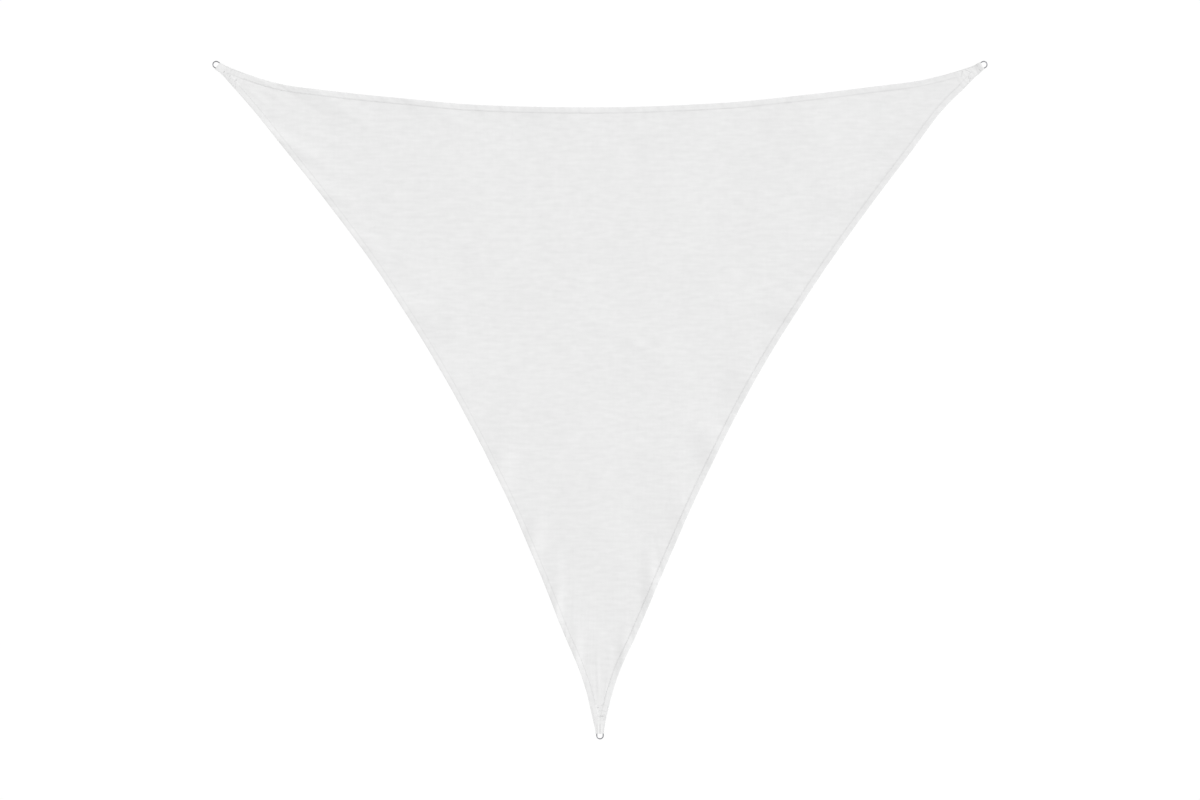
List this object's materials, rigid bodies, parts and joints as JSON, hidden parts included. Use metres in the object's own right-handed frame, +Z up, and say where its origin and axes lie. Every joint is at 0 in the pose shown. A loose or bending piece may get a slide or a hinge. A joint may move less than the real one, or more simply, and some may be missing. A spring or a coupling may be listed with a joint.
{
  "type": "triangular shade sail",
  "caption": "Triangular knitted shade sail lying spread out, with inward-bowed hemmed edges and, at each corner, a D-ring held by a folded webbing tab under the cloth's tip.",
  "frame": {"origin": "on the surface the sail lies on, under the middle of the whole sail's box", "axes": "+Z up off the surface, +Y towards the long top edge, +X from the left corner to the right corner seen from above"},
  "size_m": [3.619, 3.1674, 0.0153],
  "materials": {
    "knitted_cloth": "matte knitted polyethylene",
    "webbing": "matte woven webbing",
    "ring_wire": "polished stainless wire"
  },
  "bodies": {
    "root": {"sail_cloth": "knitted_cloth", "corner_tab_left": "webbing", "corner_tab_right": "webbing", "corner_tab_bottom": "webbing", "ring_left": "ring_wire", "ring_right": "ring_wire", "ring_bottom": "ring_wire"}
  },
  "joints": []
}
